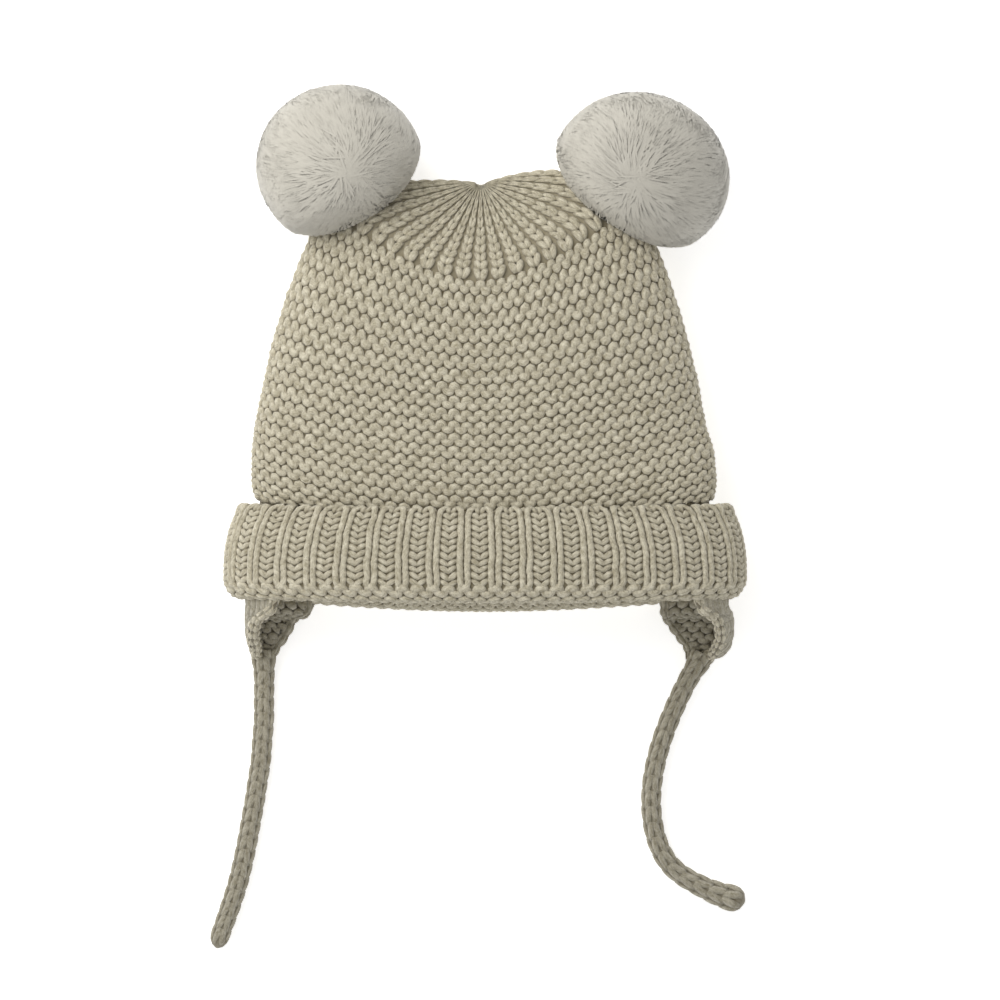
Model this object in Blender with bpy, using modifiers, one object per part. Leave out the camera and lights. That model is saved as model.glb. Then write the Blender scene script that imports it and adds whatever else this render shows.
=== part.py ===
"""Knitted baby hat with fur pompom ears, a ribbed cuff, ear flaps and ties, laid flat on its back.

Metres, +Z up. The hat's front faces +Z, its crown points to +Y and its ties trail to -Y. The origin
lies on the surface under the middle of the hat. Heights along the hat, called rises, are measured
from the fold of the cuff at mid front towards the crown.
"""

import math
import random
from collections import namedtuple

import bmesh
import bpy
import numpy as np
from mathutils import Matrix, Vector
from mathutils.bvhtree import BVHTree

MM = 0.001
GAP = 0.3 * MM

# Crown: the garter-knit body and its gathered top, one knitted piece
HAT_HEIGHT = 150 * MM
CROWN_WIDTH = 171 * MM
CROWN_SWAY = -1.6 * MM
CROWN_THICKNESS = 42 * MM
CROWN_WALL = 5 * MM
GARTER_RIDGES = 18
RIDGE_DEPTH = 1.6 * MM
GATHER_RIBS = 38
GATHER_DEPTH = 2.2 * MM
BACK_DROP = 3.8 * MM
SIDE_LIFT = 1.2 * MM

# Cuff: a ribbed band turned up over the hem of the crown
CUFF_HEIGHT = 34 * MM
CUFF_SWELL = 12.4 * MM
CUFF_PLY = 5 * MM
CUFF_RIBS = 38
CUFF_RIB_DEPTH = 2.4 * MM
SEAM_RISE = 28.5 * MM

# Ear flaps
FLAP_WALL = 4.5 * MM
FLAP_LENGTH_LEFT = 24 * MM
FLAP_LENGTH_RIGHT = 23 * MM
FLAP_TIP_WIDTH = 7 * MM

# Ties
TIE_DIAMETER = 7 * MM
TIE_STEP = 1.3 * TIE_DIAMETER

# Pompoms
POMPOM_DIAMETER = 59 * MM
POMPOM_SQUASH = 0.95
POMPOM_STRETCH_LEFT = 1.03
POMPOM_STRETCH_RIGHT = 1.10
POMPOM_TURN_RIGHT = -20
LOCK_LENGTH = 3.6 * MM
POMPOM_FROM_CENTRE_LEFT = 53 * MM
POMPOM_FROM_CENTRE_RIGHT = 57 * MM
POMPOM_RISE_LEFT = 158.5 * MM
POMPOM_RISE_RIGHT = 155.5 * MM

# Each level of the crown, from its hem (rows 0) over the last garter row (rows 1) to the gathered
# centre (rows 2). half_width is a share of half CROWN_WIDTH, side and front are rises as shares of
# HAT_HEIGHT, top and bottom are heights over the floor as shares of CROWN_THICKNESS, lean is how
# much higher the right side is than the left, as a share of HAT_HEIGHT, and bow is the power that
# bends a row up towards the sides.
Level = namedtuple("Level", "rows half_width side front top bottom lean bow")
CROWN_LEVELS = (
    Level(0.00, 0.970, 0.223, 0.190, 1.045, 0.262, 0.000, 1.75),
    Level(0.05, 0.993, 0.280, 0.217, 1.040, 0.238, 0.000, 1.75),
    Level(0.10, 0.992, 0.339, 0.245, 1.035, 0.210, 0.000, 1.75),
    Level(0.25, 0.967, 0.426, 0.326, 1.020, 0.060, 0.000, 1.75),
    Level(0.40, 0.938, 0.513, 0.407, 1.010, -0.040, 0.000, 1.75),
    Level(0.55, 0.902, 0.610, 0.488, 0.995, -0.050, 0.002, 1.70),
    Level(0.70, 0.845, 0.723, 0.576, 0.970, -0.048, 0.004, 1.65),
    Level(0.85, 0.765, 0.848, 0.669, 0.920, -0.020, 0.008, 1.60),
    Level(1.00, 0.675, 0.967, 0.776, 0.850, 0.005, 0.012, 1.65),
    Level(1.25, 0.490, 1.024, 0.838, 0.765, 0.060, 0.020, 1.90),
    Level(1.50, 0.305, 1.034, 0.895, 0.665, 0.145, 0.026, 2.10),
    Level(1.75, 0.145, 1.024, 0.951, 0.560, 0.250, 0.014, 2.20),
    Level(2.00, 0.022, 1.006, 0.997, 0.455, 0.355, 0.000, 2.00),
)

# The cuff's section, once round: reach is a share of CUFF_SWELL outwards from the inner ply's outer
# face, and rise a share of CUFF_HEIGHT. The ribs stand on the outer ply's outer face.
CuffPoint = namedtuple("CuffPoint", "reach rise ribbed")
CUFF_OUTSIDE = (
    CuffPoint(0.50, 0.985, True),
    CuffPoint(0.74, 0.84, True),
    CuffPoint(0.95, 0.58, True),
    CuffPoint(1.02, 0.30, True),
    CuffPoint(0.98, 0.11, True),
    CuffPoint(0.72, -0.008, True),
)
CUFF_FOLD = (
    CuffPoint(0.30, -0.024, False),
    CuffPoint(-0.10, 0.024, False),
)
CUFF_POCKET = (
    CuffPoint(0.03, 0.38, False),
    CuffPoint(0.31, 0.18, False),
    CuffPoint(0.54, 0.36, False),
    CuffPoint(0.49, 0.62, False),
    CuffPoint(0.29, 0.86, False),
    CuffPoint(0.16, 0.97, False),
)

# Sections of an ear flap below the cuff's fold. down is a share of the flap's length; outer, front
# and back are distances from the hat's middle as shares of the fold's half width, for the outermost
# wall, the front edge and the back edge; crest is the front edge's height and side the outermost
# wall's, as shares of CROWN_THICKNESS.
FlapSection = namedtuple("FlapSection", "down outer front back crest side")
FLAP_LEFT = (
    FlapSection(0.30, 0.992, 0.925, 0.797, 0.74, 0.46),
    FlapSection(0.55, 0.990, 0.945, 0.836, 0.56, 0.34),
    FlapSection(0.78, 0.975, 0.950, 0.878, 0.34, 0.21),
)
FLAP_RIGHT = (
    FlapSection(0.30, 1.030, 0.930, 0.757, 0.76, 0.46),
    FlapSection(0.55, 1.028, 0.945, 0.803, 0.60, 0.35),
    FlapSection(0.80, 0.985, 0.940, 0.850, 0.36, 0.21),
)
FLAP_FRONT_SHARE = 0.88
FLAP_BACK_SHARE = 0.74
FLAP_TIP_SHARE_LEFT = 0.940
FLAP_TIP_SHARE_RIGHT = 0.893

# The ties' routes from the flaps' tips, chosen by hand: across and along, in millimetres from the
# tip. They lie on the floor all the way.
TIE_ROUTE_LEFT = (
    (0.0, 0.0), (0.1, -5.2), (0.0, -12.5), (0.0, -19.8), (-0.6, -27.1), (-1.1, -34.4),
    (-2.2, -41.7), (-3.3, -49.0), (-4.6, -56.3), (-5.9, -63.6), (-7.4, -70.9), (-9.1, -78.2),
    (-11.3, -85.5), (-13.8, -92.8), (-15.8, -98.4), (-16.8, -101.8),
)
TIE_ROUTE_RIGHT = (
    (0.0, 0.0), (-2.9, -5.0), (-6.2, -11.7), (-9.4, -19.0), (-12.1, -26.3), (-14.2, -33.6),
    (-15.6, -40.9), (-16.2, -48.2), (-15.8, -55.5), (-14.4, -62.4), (-12.0, -68.4),
    (-9.0, -72.8), (-5.0, -76.3), (1.0, -79.8), (8.4, -83.2), (16.2, -85.6),
)

CUFF_LIFT_SHARE = 0.75
# How square a row's section is: 2 is an ellipse. The half under the middle is squarer, where the
# floor presses it flat.
SIDE_POWER = 2.8
FLOOR_POWER = 5.0
TOP_POWER = 2.0

RING_SAMPLES = 720
INNER_COLUMNS = 38
RIB_COLUMNS = 3
FLAP_ROWS = 10
FLAP_POINTS = 13
TIE_SIDES = 2
PULL_IN = 0.985


def colour(name, rgb, roughness):
    material = bpy.data.materials.new(name)
    material.use_nodes = True
    shader = material.node_tree.nodes["Principled BSDF"]
    shader.inputs["Base Color"].default_value = (*rgb, 1.0)
    shader.inputs["Roughness"].default_value = roughness
    shader.inputs["Metallic"].default_value = 0.0
    return material


def start():
    for obj in list(bpy.data.objects):
        bpy.data.objects.remove(obj)
    collection = bpy.data.collections.new("baby_hat")
    bpy.context.scene.collection.children.link(collection)
    return collection


def finish_mesh(name, bm, collection, material):
    """The bmesh as an object of the hat, with its faces pointing out."""
    bmesh.ops.recalc_face_normals(bm, faces=bm.faces)
    mesh = bpy.data.meshes.new(name)
    bm.to_mesh(mesh)
    bm.free()
    mesh.shade_smooth()
    mesh.materials.append(material)
    obj = bpy.data.objects.new(name, mesh)
    collection.objects.link(obj)
    return obj


def smooth_through(xs, ys, x):
    """A smooth curve through the points (xs, ys), read at x."""
    slopes = np.gradient(ys, xs)
    i = int(np.clip(np.searchsorted(xs, x) - 1, 0, len(xs) - 2))
    width = xs[i + 1] - xs[i]
    t = (x - xs[i]) / width
    return (
        (2 * t**3 - 3 * t**2 + 1) * ys[i]
        + (t**3 - 2 * t**2 + t) * width * slopes[i]
        + (3 * t**2 - 2 * t**3) * ys[i + 1]
        + (t**3 - t**2) * width * slopes[i + 1]
    )


def middle():
    """The rise that lies over the origin: half way from the flaps' tips to the pompoms' tops."""
    top = max(POMPOM_RISE_LEFT, POMPOM_RISE_RIGHT) + POMPOM_DIAMETER / 2
    tip = -max(FLAP_LENGTH_LEFT, FLAP_LENGTH_RIGHT)
    return (top + tip) / 2


def ring_line(half_width, top, bottom, front, side, back, lean, bow, power):
    """A closed row of the hat as a fine line, from mid front over the right side and back round."""
    turn = np.linspace(0, 2 * math.pi, RING_SAMPLES, endpoint=False)
    across, up = np.sin(turn), np.cos(turn)
    over = up >= 0
    under_power = np.interp(power, (TOP_POWER, SIDE_POWER), (TOP_POWER, FLOOR_POWER))
    sideways = np.where(over, power, under_power)
    x_share = np.sign(across) * np.abs(across) ** (2 / sideways)
    centre = (top + bottom) / 2
    z = centre + np.sign(up) * np.abs(up) * (top - bottom) / 2
    lift = np.abs(x_share) ** bow
    y = np.where(over, front, back) + (side - np.where(over, front, back)) * lift
    y = y + lean * x_share / 2 - middle()
    return np.stack([x_share * half_width, y, z], axis=1)


def even_points(line, columns):
    """columns points spread evenly along a closed line, starting at its first point."""
    closed = np.vstack([line, line[:1]])
    along = np.concatenate([[0], np.cumsum(np.linalg.norm(np.diff(closed, axis=0), axis=1))])
    at = np.linspace(0, along[-1], columns, endpoint=False)
    return np.stack([np.interp(at, along, closed[:, k]) for k in range(3)], axis=1)


def crown_line(rows):
    """The crown's outer face at a level, rows counted as in CROWN_LEVELS."""
    xs = np.array([level.rows for level in CROWN_LEVELS])
    half_width, side, front, top, bottom, lean, bow = (
        float(smooth_through(xs, np.array([getattr(level, name) for level in CROWN_LEVELS]), rows))
        for name in ("half_width", "side", "front", "top", "bottom", "lean", "bow")
    )
    drop = BACK_DROP * max(0.0, 1 - rows)
    power = np.interp(rows, (1.0, 2.0), (SIDE_POWER, TOP_POWER))
    front, side = front * HAT_HEIGHT, side * HAT_HEIGHT
    if rows == 0:
        front, side = SEAM_RISE, SEAM_RISE + SIDE_LIFT
    line = ring_line(
        half_width * CROWN_WIDTH / 2, top * CROWN_THICKNESS, bottom * CROWN_THICKNESS,
        front, side, front - drop, lean * HAT_HEIGHT, bow, power,
    )
    line[:, 0] += CROWN_SWAY * min(1, 4 * rows)
    return line


def outward(levels, columns):
    """The outward normals of the crown's face at these levels and columns."""
    step = 0.01
    normals = []
    for rows in levels:
        low, high = max(rows - step, 0), min(rows + step, 2)
        along = even_points(crown_line(high), columns) - even_points(crown_line(low), columns)
        here = even_points(crown_line(rows), columns)
        round_it = np.roll(here, -1, axis=0) - np.roll(here, 1, axis=0)
        normal = np.cross(round_it, along)
        if rows == 0:
            normal[:, 1] = 0
        normals.append(normal / np.linalg.norm(normal, axis=1)[:, None])
    return normals


def on_floor(points):
    """The points with what would reach under the floor pressed flat on it."""
    pressed = points.copy()
    pressed[:, 2] = np.maximum(pressed[:, 2], 0)
    return pressed


def add_ring(bm, points):
    """A closed ring of edges."""
    verts = [bm.verts.new(p) for p in points]
    return [bm.edges.new((a, b)) for a, b in zip(verts, verts[1:] + verts[:1])]


def bridge(bm, rings, closed=False):
    """Faces between each ring and the next."""
    pairs = list(zip(rings, rings[1:])) + ([(rings[-1], rings[0])] if closed else [])
    for low, high in pairs:
        bmesh.ops.bridge_loops(bm, edges=low + high)


def cap(bm, ring):
    """A fan of triangles over a ring, to a point at its middle."""
    corners = {v for edge in ring for v in edge.verts}
    centre = bm.verts.new(sum((v.co for v in corners), Vector()) / len(corners))
    for edge in ring:
        bm.faces.new((*edge.verts, centre))


def crown(collection, material):
    """The hollow body: garter ridges below, radial ribs drawn together at the top."""
    bm = bmesh.new()
    rings = []
    ridge_levels = [i / (2 * GARTER_RIDGES) for i in range(2 * GARTER_RIDGES)]
    for i, (rows, normal) in enumerate(zip(ridge_levels, outward(ridge_levels, GATHER_RIBS))):
        depth = RIDGE_DEPTH * (i % 2 == 0)
        face = even_points(crown_line(rows), GATHER_RIBS) - depth * normal
        rings.append(add_ring(bm, on_floor(face)))
    gather_levels = [1.0, 1.15, 1.35, 1.55, 1.75, 1.9, 2.0]
    columns = 2 * GATHER_RIBS
    valley = np.arange(columns) % 2
    for rows, normal in zip(gather_levels, outward(gather_levels, columns)):
        fade = min(1.0, 3 * (2 - rows))
        depth = (GATHER_DEPTH * fade * valley)[:, None]
        face = even_points(crown_line(rows), columns) - depth * normal
        rings.append(add_ring(bm, on_floor(face)))
    cap(bm, rings[-1])
    inner_levels = [0, 0.1, 0.25, 0.4, 0.55, 0.7, 0.85, 1.0, 1.2, 1.4, 1.55]
    inner = []
    for rows, normal in zip(inner_levels, outward(inner_levels, INNER_COLUMNS)):
        outer_face = on_floor(even_points(crown_line(rows), INNER_COLUMNS))
        inner.append(add_ring(bm, outer_face - CROWN_WALL * normal))
    cap(bm, inner[-1])
    bridge(bm, inner[::-1] + rings)
    return finish_mesh("crown", bm, collection, material)


def cuff_ring(reach, rise, columns, relief=0.0):
    """A row of the cuff. reach is measured outwards from the inner ply's outer face."""
    hem = CROWN_LEVELS[0]
    raised = rise * CUFF_HEIGHT
    swell = max(reach, 0) * CUFF_SWELL
    line = ring_line(
        hem.half_width * CROWN_WIDTH / 2 + swell,
        hem.top * CROWN_THICKNESS + swell * CUFF_LIFT_SHARE,
        hem.bottom * CROWN_THICKNESS - swell,
        raised, raised + SIDE_LIFT, raised - BACK_DROP, 0.0, hem.bow, SIDE_POWER,
    )
    points = even_points(line, columns)
    round_it = np.roll(points, -1, axis=0) - np.roll(points, 1, axis=0)
    normal = np.cross(round_it, (0, 1, 0))
    normal /= np.linalg.norm(normal, axis=1)[:, None]
    valley = (np.arange(columns) % RIB_COLUMNS == 0)[:, None]
    inwards = relief * valley + max(-reach, 0) * CUFF_SWELL
    return on_floor(points - inwards * normal)


def cuff(collection, material):
    """The turned-up cuff: two plies joined at the fold, with vertical ribs outside."""
    bm = bmesh.new()
    ribbed = [
        add_ring(bm, cuff_ring(p.reach, p.rise, CUFF_RIBS * RIB_COLUMNS, CUFF_RIB_DEPTH))
        for p in CUFF_OUTSIDE
    ]
    seam = (SEAM_RISE - GAP) / CUFF_HEIGHT
    ply = CUFF_PLY / CUFF_SWELL
    inside = (
        CuffPoint(-0.92 * ply, 0.17, False),
        CuffPoint(-ply, 0.5, False),
        CuffPoint(-ply, seam, False),
        CuffPoint(0.0, seam, False),
    )
    plain = [
        add_ring(bm, cuff_ring(p.reach, p.rise, INNER_COLUMNS))
        for p in CUFF_FOLD + inside + CUFF_POCKET
    ]
    bridge(bm, ribbed + plain, closed=True)
    return finish_mesh("cuff", bm, collection, material)


def even_along(points, count):
    """count points evenly spread along an open line of straight stretches."""
    along = np.concatenate([[0], np.cumsum(np.linalg.norm(np.diff(points, axis=0), axis=1))])
    at = np.linspace(0, along[-1], count)
    return np.stack([np.interp(at, along, points[:, k]) for k in range(points.shape[1])], axis=1)


def through_points(points, count):
    """count points along a smooth curve through these points, evenly spread in its length."""
    points = np.array(points, float)
    along = np.concatenate([[0], np.cumsum(np.linalg.norm(np.diff(points, axis=0), axis=1))])
    fine = np.linspace(0, along[-1], 200)
    curve = np.array(
        [[smooth_through(along, points[:, k], s) for k in range(points.shape[1])] for s in fine]
    )
    return even_along(curve, count)


def flap_root(side):
    """The flap's upper edge: the stretch of the cuff's fold round one side, just under it."""
    fold = CUFF_FOLD[0]
    ring = cuff_ring(fold.reach, fold.rise, INNER_COLUMNS)
    half = even_along(ring[side * np.arange(INNER_COLUMNS // 2 + 1)], RING_SAMPLES)
    share = np.abs(half[:, 0]) / np.abs(half[:, 0]).max()
    before = np.arange(RING_SAMPLES) <= np.argmax(share)
    kept = half[np.where(before, share >= FLAP_FRONT_SHARE, share >= FLAP_BACK_SHARE)]
    edge = even_along(kept, FLAP_POINTS)
    edge[:, 1] -= 2 * GAP
    return edge


def flap_tip(side):
    """The middle of the flap's tip, where the tie begins."""
    length = FLAP_LENGTH_RIGHT if side > 0 else FLAP_LENGTH_LEFT
    across = FLAP_TIP_SHARE_RIGHT if side > 0 else FLAP_TIP_SHARE_LEFT
    half_width = np.abs(cuff_ring(CUFF_FOLD[0].reach, 0, RING_SAMPLES)[:, 0]).max()
    return Vector((side * across * half_width, -length - middle(), TIE_DIAMETER / 2 + GAP))


def ear_flap(name, side, sections, length, collection, material):
    """A knitted flap that hangs from the fold, cupped round the ear and narrowing to its tie."""
    half_width = np.abs(cuff_ring(CUFF_FOLD[0].reach, 0, RING_SAMPLES)[:, 0]).max()
    lying = FLAP_WALL / 2 + GAP
    root = flap_root(side)
    rows = [root, root - (0, 4 * GAP, 0)]
    for section in sections:
        outer, front, back = (side * half_width * share for share in section[1:4])
        crest, beside = section.crest * CROWN_THICKNESS, section.side * CROWN_THICKNESS
        y = -section.down * length - middle()
        path = [
            (front, y, max(crest, lying)),
            (outer, y, max(beside, lying)),
            (outer - side * 0.35 * abs(outer - back), y, lying * 1.2),
            (back, y, lying),
        ]
        rows.append(through_points(path, FLAP_POINTS))
    tip = flap_tip(side)
    spread = np.linspace(1, -1, FLAP_POINTS) * FLAP_TIP_WIDTH / 2
    end = np.array([(tip.x + side * s, tip.y, tip.z) for s in spread])
    rows += [end + (0, 4 * GAP, 0), end]
    bm = bmesh.new()
    columns = [through_points([row[i] for row in rows[1:-1]], FLAP_ROWS) for i in range(FLAP_POINTS)]
    rows = [rows[0], *np.stack(columns, axis=1), rows[-1]]
    grid = [[bm.verts.new(p) for p in row] for row in rows]
    strips = [
        [bm.edges.new((a, b)) for a, b in zip(row, row[1:])] for row in grid
    ]
    for low, high in zip(strips, strips[1:]):
        bmesh.ops.bridge_loops(bm, edges=low + high)
    obj = finish_mesh(name, bm, collection, material)
    wall = obj.modifiers.new("knitted wall", "SOLIDIFY")
    wall.thickness = FLAP_WALL
    wall.offset = 0
    return obj


def tie(name, side, route, collection, material):
    """A knitted cord from the flap's tip, lying on the floor."""
    tip = flap_tip(side)
    points = [(tip.x + x * MM, tip.y + y * MM, tip.z) for x, y in route]
    count = round(sum(math.dist(a, b) for a, b in zip(points, points[1:])) / TIE_STEP)
    places = through_points(points, count + 1)
    first = places[1] - places[0]
    tilt = abs(first[0]) / np.linalg.norm(first)
    places[:, 1] -= 2 * GAP + tilt * TIE_DIAMETER / 2
    curve = bpy.data.curves.new(name, "CURVE")
    curve.dimensions = "3D"
    curve.bevel_depth = TIE_DIAMETER / 2
    curve.bevel_resolution = TIE_SIDES
    curve.use_fill_caps = True
    spline = curve.splines.new("POLY")
    spline.points.add(len(places) - 1)
    for point, place in zip(spline.points, places):
        point.co = (*place, 1)
    curve.materials.append(material)
    obj = bpy.data.objects.new(name, curve)
    collection.objects.link(obj)
    return obj


def skin_of(obj, clearance):
    """The object's surface pushed outwards by the clearance, ready to be searched."""
    bm = bmesh.new()
    bm.from_mesh(obj.data)
    for vert, normal in [(v, v.normal.copy()) for v in bm.verts]:
        vert.co += normal * clearance
    tree = BVHTree.FromBMesh(bm)
    bm.free()
    return tree


def pompom(name, centre, stretch, turn, skin, collection, material, seed):
    """A fur ball of pointed locks, pressed in where the crown and the floor meet it."""
    pick = random.Random(seed)
    bm = bmesh.new()
    bmesh.ops.create_icosphere(bm, subdivisions=3, radius=1)
    cut = bmesh.ops.subdivide_edges(bm, edges=bm.edges, cuts=1, use_grid_fill=True)
    roots = set(cut["geom_inner"])
    bmesh.ops.triangulate(bm, faces=bm.faces)
    shape = Matrix.Rotation(turn, 3, "Z") @ Matrix.Diagonal((stretch, 1, POMPOM_SQUASH))
    for vert in bm.verts:
        shorter = LOCK_LENGTH * (1 if vert in roots else 0.35 * pick.random())
        offset = shape @ (vert.co.normalized() * (POMPOM_DIAMETER / 2 - shorter))
        hit = skin.ray_cast(centre, offset.normalized(), offset.length)
        if hit[0] is not None:
            offset = offset.normalized() * hit[3]
        vert.co = centre + offset
        vert.co.z = max(vert.co.z, 0)
    touching = skin.overlap(BVHTree.FromBMesh(bm))
    while touching:
        bm.faces.ensure_lookup_table()
        for vert in {v for _, i in touching for v in bm.faces[i].verts}:
            vert.co = centre + (vert.co - centre) * PULL_IN
        touching = skin.overlap(BVHTree.FromBMesh(bm))
    return finish_mesh(name, bm, collection, material)


def main():
    collection = start()
    yarn = colour("oatmeal_yarn", (0.52, 0.48, 0.37), 0.9)
    rib = colour("oatmeal_rib", (0.54, 0.50, 0.39), 0.9)
    fur = colour("ivory_fur", (0.74, 0.72, 0.66), 0.95)
    hat = crown(collection, yarn)
    cuff(collection, rib)
    ear_flap("ear_flap_left", -1, FLAP_LEFT, FLAP_LENGTH_LEFT, collection, yarn)
    ear_flap("ear_flap_right", 1, FLAP_RIGHT, FLAP_LENGTH_RIGHT, collection, yarn)
    tie("tie_left", -1, TIE_ROUTE_LEFT, collection, rib)
    tie("tie_right", 1, TIE_ROUTE_RIGHT, collection, rib)
    skin = skin_of(hat, GAP)
    height = (POMPOM_SQUASH * POMPOM_DIAMETER - LOCK_LENGTH) / 2
    left = Vector((-POMPOM_FROM_CENTRE_LEFT, POMPOM_RISE_LEFT - middle(), height))
    right = Vector((POMPOM_FROM_CENTRE_RIGHT, POMPOM_RISE_RIGHT - middle(), height))
    pompom("pompom_left", left, POMPOM_STRETCH_LEFT, 0.0, skin, collection, fur, 3)
    turn = math.radians(POMPOM_TURN_RIGHT)
    pompom("pompom_right", right, POMPOM_STRETCH_RIGHT, turn, skin, collection, fur, 8)


main()
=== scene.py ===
"""Knitted baby hat in chunky oatmeal yarn, laid flat on its back.

A garter-stitch crown gathered at the top, a ribbed cuff turned up over its hem, ear flaps that end
in cord ties, and two fur pompoms as ears. Metres, +Z up, the crown towards +Y.
"""

import math
from collections import namedtuple

import bmesh
import bpy
import numpy as np
from mathutils import Matrix, Vector
from mathutils.bvhtree import BVHTree


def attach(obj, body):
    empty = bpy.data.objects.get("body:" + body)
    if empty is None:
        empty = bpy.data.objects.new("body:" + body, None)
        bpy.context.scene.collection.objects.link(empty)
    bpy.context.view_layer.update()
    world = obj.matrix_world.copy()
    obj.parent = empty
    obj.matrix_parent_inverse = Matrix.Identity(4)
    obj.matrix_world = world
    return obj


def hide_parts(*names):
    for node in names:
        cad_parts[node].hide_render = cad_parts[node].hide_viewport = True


bl_info = {
    "name": "Baby hat with ears",
    "version": (1, 0, 0),
    "blender": (4, 5, 0),
    "location": "View3D > Sidebar > Baby Hat",
    "description": "Builds a knitted baby hat with fur pompom ears, ear flaps and ties",
    "category": "Add Mesh",
}

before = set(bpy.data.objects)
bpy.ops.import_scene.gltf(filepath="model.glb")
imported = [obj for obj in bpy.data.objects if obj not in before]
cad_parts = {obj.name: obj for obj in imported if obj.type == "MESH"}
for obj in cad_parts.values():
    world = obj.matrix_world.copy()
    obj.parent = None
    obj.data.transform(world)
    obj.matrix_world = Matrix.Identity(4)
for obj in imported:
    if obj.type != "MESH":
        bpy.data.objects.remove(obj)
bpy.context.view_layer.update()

MM = 0.001
GAP = 0.3 * MM

# Sizes of the solids, which the surfaces under the stitches follow
HAT_HEIGHT = 150 * MM
CROWN_WIDTH = 171 * MM
CROWN_SWAY = -1.6 * MM
CROWN_THICKNESS = 42 * MM
CROWN_WALL = 5 * MM
BACK_DROP = 3.8 * MM
SIDE_LIFT = 1.2 * MM
CUFF_HEIGHT = 34 * MM
CUFF_SWELL = 12.4 * MM
CUFF_PLY = 5 * MM
CUFF_LIFT_SHARE = 0.75
SEAM_RISE = 28.5 * MM
FLAP_WALL = 4.5 * MM
FLAP_LENGTH = {-1: 24 * MM, 1: 23 * MM}
FLAP_TIP_WIDTH = 7 * MM
FLAP_TIP_SHARE = {-1: 0.940, 1: 0.893}
FLAP_FRONT_SHARE = 0.88
FLAP_BACK_SHARE = 0.74
FLAP_ROOT_REACH = {-1: 1.0, 1: 1.018}
TIE_DIAMETER = 7 * MM
POMPOM_DIAMETER = 59 * MM
POMPOM_SQUASH = 0.95
POMPOM_FROM_CENTRE = {-1: 53 * MM, 1: 57 * MM}
POMPOM_RISE = {-1: 158.5 * MM, 1: 155.5 * MM}
POMPOM_STRETCH = {-1: 1.03, 1: 1.10}
POMPOM_TURN = {-1: 0.0, 1: -20.0}
POMPOM_PARTING = {-1: (-48.545 * MM, 154.03 * MM), 1: (56.575 * MM, 150.38 * MM)}
SIDE_POWER = 2.8
FLOOR_POWER = 5.0
TOP_POWER = 2.0
GARTER_RIDGES = 18
SIDE_NAME = {-1: "left", 1: "right"}

# Levels of the crown: rows, half width, side, front, top, bottom, lean, bow
CROWN_LEVELS = np.array((
    (0.00, 0.970, 0.223, 0.190, 1.045, 0.262, 0.000, 1.75),
    (0.05, 0.993, 0.280, 0.217, 1.040, 0.238, 0.000, 1.75),
    (0.10, 0.992, 0.339, 0.245, 1.035, 0.210, 0.000, 1.75),
    (0.25, 0.967, 0.426, 0.326, 1.020, 0.060, 0.000, 1.75),
    (0.40, 0.938, 0.513, 0.407, 1.010, -0.040, 0.000, 1.75),
    (0.55, 0.902, 0.610, 0.488, 0.995, -0.050, 0.002, 1.70),
    (0.70, 0.845, 0.723, 0.576, 0.970, -0.048, 0.004, 1.65),
    (0.85, 0.765, 0.848, 0.669, 0.920, -0.020, 0.008, 1.60),
    (1.00, 0.675, 0.967, 0.776, 0.850, 0.005, 0.012, 1.65),
    (1.25, 0.490, 1.024, 0.838, 0.765, 0.060, 0.020, 1.90),
    (1.50, 0.305, 1.034, 0.895, 0.665, 0.145, 0.026, 2.10),
    (1.75, 0.145, 1.030, 0.957, 0.560, 0.250, 0.014, 2.20),
    (2.00, 0.022, 1.019, 1.011, 0.455, 0.355, 0.000, 2.00),
))

# The cuff's section from the seam inside, round the fold and up to the lip outside: reach and rise
# as shares of the cuff's swell and height
PLY = CUFF_PLY / CUFF_SWELL
CUFF_SECTION = np.array((
    (-PLY, SEAM_RISE / CUFF_HEIGHT), (-PLY, 0.5), (-0.92 * PLY, 0.17), (-0.10, 0.024),
    (0.30, -0.024), (0.72, -0.008), (0.98, 0.11), (1.02, 0.30), (0.95, 0.58), (0.74, 0.84),
    (0.50, 0.985), (0.30, 0.995), (0.16, 0.95),
))

# Sections of the flaps: down, outer, front, back, crest, side
FLAP_SECTIONS = {
    -1: (
        (0.30, 0.992, 0.950, 0.797, 0.74, 0.46),
        (0.55, 0.990, 0.972, 0.832, 0.56, 0.34),
        (0.78, 0.975, 0.962, 0.878, 0.34, 0.21),
    ),
    1: (
        (0.30, 1.030, 0.965, 0.757, 0.76, 0.46),
        (0.55, 1.031, 0.985, 0.803, 0.60, 0.35),
        (0.80, 1.012, 0.966, 0.850, 0.36, 0.21),
    ),
}

# The ties' routes from the flaps' tips, in millimetres
TIE_ROUTE = {
    -1: (
        (0.0, 0.0), (0.1, -5.2), (0.0, -12.5), (0.0, -19.8), (-0.6, -27.1), (-1.1, -34.4),
        (-2.2, -41.7), (-3.3, -49.0), (-4.6, -56.3), (-5.9, -63.6), (-7.4, -70.9), (-9.1, -78.2),
        (-11.3, -85.5), (-13.8, -92.8), (-15.8, -98.4), (-16.8, -101.8),
    ),
    1: (
        (0.0, 0.0), (-2.9, -5.0), (-6.2, -11.7), (-9.4, -19.0), (-12.1, -26.3), (-14.2, -33.6),
        (-15.6, -40.9), (-16.2, -48.2), (-15.8, -55.5), (-14.4, -62.4), (-12.0, -68.4),
        (-9.0, -72.8), (-5.0, -76.3), (1.0, -79.8), (8.4, -83.2), (16.2, -85.6),
    ),
}

# Counts of stitches, taken from the photograph
STITCHES_ROUND = 76
PARTIAL_RIDGES = 3
HEM_RIDGE_STEP = 4.75 * MM
RIB_UNITS = 38
RIB_PHASE = 0.33
RIB_ROWS = 11
GATHER_COLUMNS = 42
GATHER_ROWS = 10
YARN_SIDES = 6

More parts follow.
